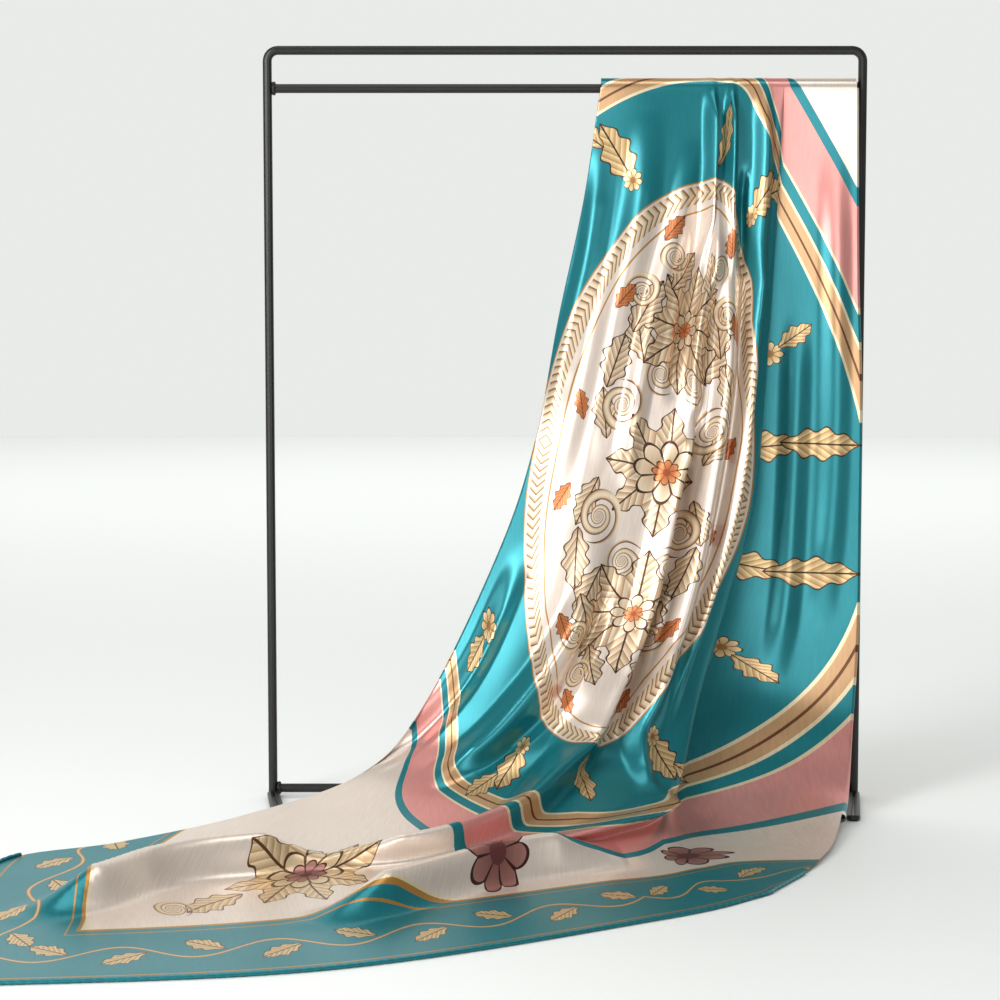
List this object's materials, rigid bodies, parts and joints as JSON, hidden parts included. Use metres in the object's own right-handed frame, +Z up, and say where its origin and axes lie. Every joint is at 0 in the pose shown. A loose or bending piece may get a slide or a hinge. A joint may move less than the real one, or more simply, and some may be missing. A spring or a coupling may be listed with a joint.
{
  "type": "silk square scarf on a wire display rack",
  "caption": "Satin square scarf folded in three over the second bar of a black wire rack, its train spread on the floor in front.",
  "frame": {"origin": "middle of the bounding box in plan, on the floor", "axes": "+X to the viewer's right along the rack's bars, +Y from the viewer to the back, +Z up"},
  "size_m": [0.5474, 0.4728, 0.503],
  "materials": {
    "black_coat": "semi-gloss",
    "satin": "satin",
    "satin_train": "satin",
    "hem_thread": "matte"
  },
  "bodies": {
    "root": {"rack_outer_frame": "black_coat", "rack_hanging_bar": "black_coat", "rack_low_crossbar": "black_coat", "rack_foot_left": "black_coat", "rack_foot_right": "black_coat", "scarf_back_fall": "satin", "scarf_front_fall": "satin", "scarf_train": "satin_train", "scarf_left_third": "satin", "scarf_right_third": "satin", "hem_left": "hem_thread", "hem_bottom": "hem_thread", "hem_top": "hem_thread"}
  },
  "joints": []
}
